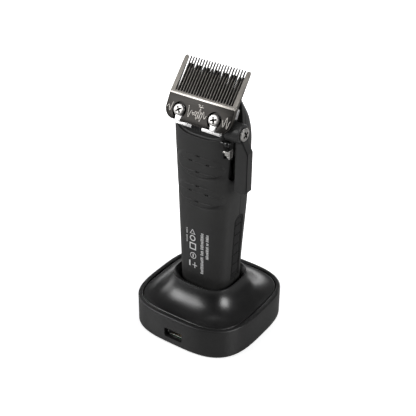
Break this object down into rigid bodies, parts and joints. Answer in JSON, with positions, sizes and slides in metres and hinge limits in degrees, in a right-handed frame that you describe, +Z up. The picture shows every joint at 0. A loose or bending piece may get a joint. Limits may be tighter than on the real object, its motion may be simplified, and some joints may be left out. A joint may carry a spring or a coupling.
{
  "type": "hair clipper",
  "caption": "Cordless hair clipper with wide toothed blade and side taper lever, standing upright in a square-round charging dock with a flared collar.",
  "frame": {"origin": "centre of the dock's underside, at the height of the surface it stands on", "axes": "+Z up along the handle; -Y towards the charging socket and the blade's screw side; +X towards the taper lever"},
  "size_m": [0.0834, 0.0834, 0.1803],
  "materials": {
    "dock_shell": "satin black moulded plastic",
    "handle_shell": "matt black soft-touch plastic",
    "rubber": "matt",
    "gunmetal": "dark brushed coating with bare ground edges",
    "black_steel": "thin hard black coating",
    "chrome": "polished",
    "steel": "plain",
    "gold": "plated contact",
    "board": "coated fibreglass board",
    "cell_wrap": "shrink film",
    "lens": "clear moulded light pipe",
    "nylon": "natural nylon"
  },
  "bodies": {
    "dock": {"dock_tray": "dock_shell", "dock_lid": "dock_shell", "dock_foot_front_left": "rubber", "dock_foot_front_right": "rubber", "dock_foot_back_left": "rubber", "dock_foot_back_right": "rubber", "dock_screw_front_left": "steel", "dock_screw_front_right": "steel", "dock_screw_back_left": "steel", "dock_screw_back_right": "steel", "dock_circuit_board": "board", "usb_socket_shell": "steel", "usb_socket_tongue": "handle_shell", "contact_barrel_left": "steel", "contact_barrel_right": "steel"},
    "left_contact": {"contact_pin_left": "gold"},
    "right_contact": {"contact_pin_right": "gold"},
    "clipper": {"front_housing": "handle_shell", "rear_housing": "handle_shell", "side_grip_left": "rubber", "side_grip_right": "rubber", "end_cap": "handle_shell", "charge_pad_left": "gold", "charge_pad_right": "gold", "battery_cell": "cell_wrap", "control_board": "board", "button_switch": "black_steel", "status_lens": "lens", "motor_can": "steel", "motor_mount": "handle_shell", "motor_screw_left": "steel", "motor_screw_right": "steel", "fixed_blade": "gunmetal", "head_bracket": "chrome", "blade_screw_left": "chrome", "blade_screw_right": "chrome", "bracket_screw_left": "steel", "bracket_screw_right": "steel", "lever_stop": "rubber", "click_spring": "chrome"},
    "button": {"power_button": "handle_shell"},
    "rotor": {"motor_shaft": "steel"},
    "lever": {"taper_lever": "handle_shell", "lever_shaft": "steel", "lever_screw": "chrome"},
    "carriage": {"taper_carriage": "steel"},
    "cutter": {"moving_blade": "black_steel", "cutter_yoke": "nylon"}
  },
  "joints": [
    {"name": "lift_off", "type": "slide", "parent": "dock", "child": "clipper", "axis": [0, 0, 1], "range_m": [0, 0.06]},
    {"name": "left_contact_press", "type": "slide", "parent": "dock", "child": "left_contact", "axis": [0, 0, 1], "range_m": [-0.0012, 0], "stiffness_N_per_m": 200, "springref_m": 0.0005},
    {"name": "right_contact_press", "type": "slide", "parent": "dock", "child": "right_contact", "axis": [0, 0, 1], "range_m": [-0.0012, 0], "stiffness_N_per_m": 200, "springref_m": 0.0005},
    {"name": "button_press", "type": "slide", "parent": "clipper", "child": "button", "axis": [0, -1, 0], "range_m": [0, 0.0008], "stiffness_N_per_m": 600, "springref_m": -0.0004},
    {"name": "motor_spin", "type": "hinge", "parent": "clipper", "child": "rotor", "pos_m": [0, 0.0005, 0.12], "axis": [0, 0, 1], "continuous": true},
    {"name": "lever_turn", "type": "hinge", "parent": "clipper", "child": "lever", "pos_m": [0.025, -0.0087, 0.1484], "axis": [1, 0, 0], "range_deg": [0, 60]},
    {"name": "taper_slide", "type": "slide", "parent": "clipper", "child": "carriage", "axis": [0, 0.4863, 0.8738], "range_m": [0, 0.0022]},
    {"name": "cutter_stroke", "type": "slide", "parent": "carriage", "child": "cutter", "axis": [1, 0, 0], "range_m": [-0.0012, 0.0012]}
  ],
  "couplings": [
    {"joint": "taper_slide", "follows": "lever_turn", "m_per_rad": 0.0021}
  ]
}
